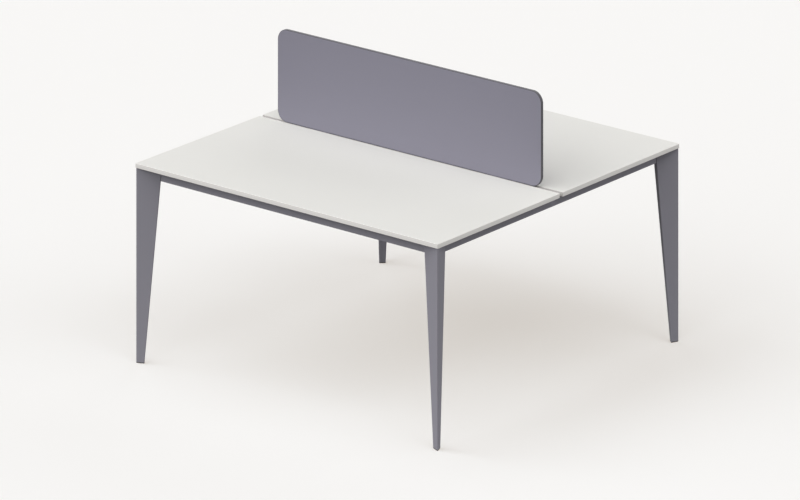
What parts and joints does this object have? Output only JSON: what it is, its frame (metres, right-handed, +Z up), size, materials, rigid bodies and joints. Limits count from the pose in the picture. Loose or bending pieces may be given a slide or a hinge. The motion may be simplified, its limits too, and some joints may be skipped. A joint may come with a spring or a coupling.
{
  "type": "benching desk for two",
  "caption": "Square benching desk: two facing pale worktops on one grey steel frame with tapered wedge legs, and a low grey screen with rounded corners standing between them.",
  "frame": {"origin": "on the floor, under the middle of the desk", "axes": "+Z up; +X along the desk's length and along the screen; +Y from the front seat to the rear seat"},
  "size_m": [1.4, 1.415, 1.063],
  "materials": {
    "worktop_board": "off-white melamine-faced board, fine satin texture",
    "worktop_edging": "off-white edge band, satin",
    "painted_steel": "lavender-grey powder coat, fine texture, matt",
    "zinc_steel": "bright zinc plate",
    "screen_board": "lavender-grey laminated board, matt",
    "screen_edging": "dark grey edge trim, matt",
    "dark_plastic": "dark grey moulded plastic"
  },
  "bodies": {
    "frame": {"front_worktop": "worktop_board", "rear_worktop": "worktop_board", "front_worktop_edge_band": "worktop_edging", "rear_worktop_edge_band": "worktop_edging", "front_left_leg": "painted_steel", "front_right_leg": "painted_steel", "rear_right_leg": "painted_steel", "rear_left_leg": "painted_steel", "front_left_leg_end_cap": "dark_plastic", "front_right_leg_end_cap": "dark_plastic", "rear_right_leg_end_cap": "dark_plastic", "rear_left_leg_end_cap": "dark_plastic", "front_left_corner_bracket": "zinc_steel", "front_right_corner_bracket": "zinc_steel", "rear_right_corner_bracket": "zinc_steel", "rear_left_corner_bracket": "zinc_steel", "front_left_leg_bolt": "zinc_steel", "front_right_leg_bolt": "zinc_steel", "rear_right_leg_bolt": "zinc_steel", "rear_left_leg_bolt": "zinc_steel", "front_left_leg_nut": "zinc_steel", "front_right_leg_nut": "zinc_steel", "rear_right_leg_nut": "zinc_steel", "rear_left_leg_nut": "zinc_steel", "front_rail": "painted_steel", "rear_rail": "painted_steel", "left_end_rail": "painted_steel", "right_end_rail": "painted_steel", "centre_beam": "painted_steel", "left_beam_hanger": "zinc_steel", "right_beam_hanger": "zinc_steel", "left_hanger_front_bolt": "zinc_steel", "left_hanger_rear_bolt": "zinc_steel", "right_hanger_front_bolt": "zinc_steel", "right_hanger_rear_bolt": "zinc_steel", "left_hanger_screw": "zinc_steel", "right_hanger_screw": "zinc_steel", "left_screen_post": "painted_steel", "right_screen_post": "painted_steel", "left_screen_post_left_screw": "zinc_steel", "left_screen_post_right_screw": "zinc_steel", "right_screen_post_left_screw": "zinc_steel", "right_screen_post_right_screw": "zinc_steel", "screen_panel": "screen_board", "screen_edge_trim": "screen_edging", "front_worktop_screw_1": "zinc_steel", "front_worktop_screw_2": "zinc_steel", "front_worktop_screw_3": "zinc_steel", "front_worktop_screw_4": "zinc_steel", "rear_worktop_screw_1": "zinc_steel", "rear_worktop_screw_2": "zinc_steel", "rear_worktop_screw_3": "zinc_steel", "rear_worktop_screw_4": "zinc_steel"},
    "front_left_foot": {"front_left_levelling_foot": "dark_plastic"},
    "front_right_foot": {"front_right_levelling_foot": "dark_plastic"},
    "rear_right_foot": {"rear_right_levelling_foot": "dark_plastic"},
    "rear_left_foot": {"rear_left_levelling_foot": "dark_plastic"}
  },
  "joints": [
    {"name": "front_left_foot_height", "type": "slide", "parent": "frame", "child": "front_left_foot", "axis": [0, 0, -1], "range_m": [0, 0.012]},
    {"name": "front_right_foot_height", "type": "slide", "parent": "frame", "child": "front_right_foot", "axis": [0, 0, -1], "range_m": [0, 0.012]},
    {"name": "rear_right_foot_height", "type": "slide", "parent": "frame", "child": "rear_right_foot", "axis": [0, 0, -1], "range_m": [0, 0.012]},
    {"name": "rear_left_foot_height", "type": "slide", "parent": "frame", "child": "rear_left_foot", "axis": [0, 0, -1], "range_m": [0, 0.012]}
  ]
}
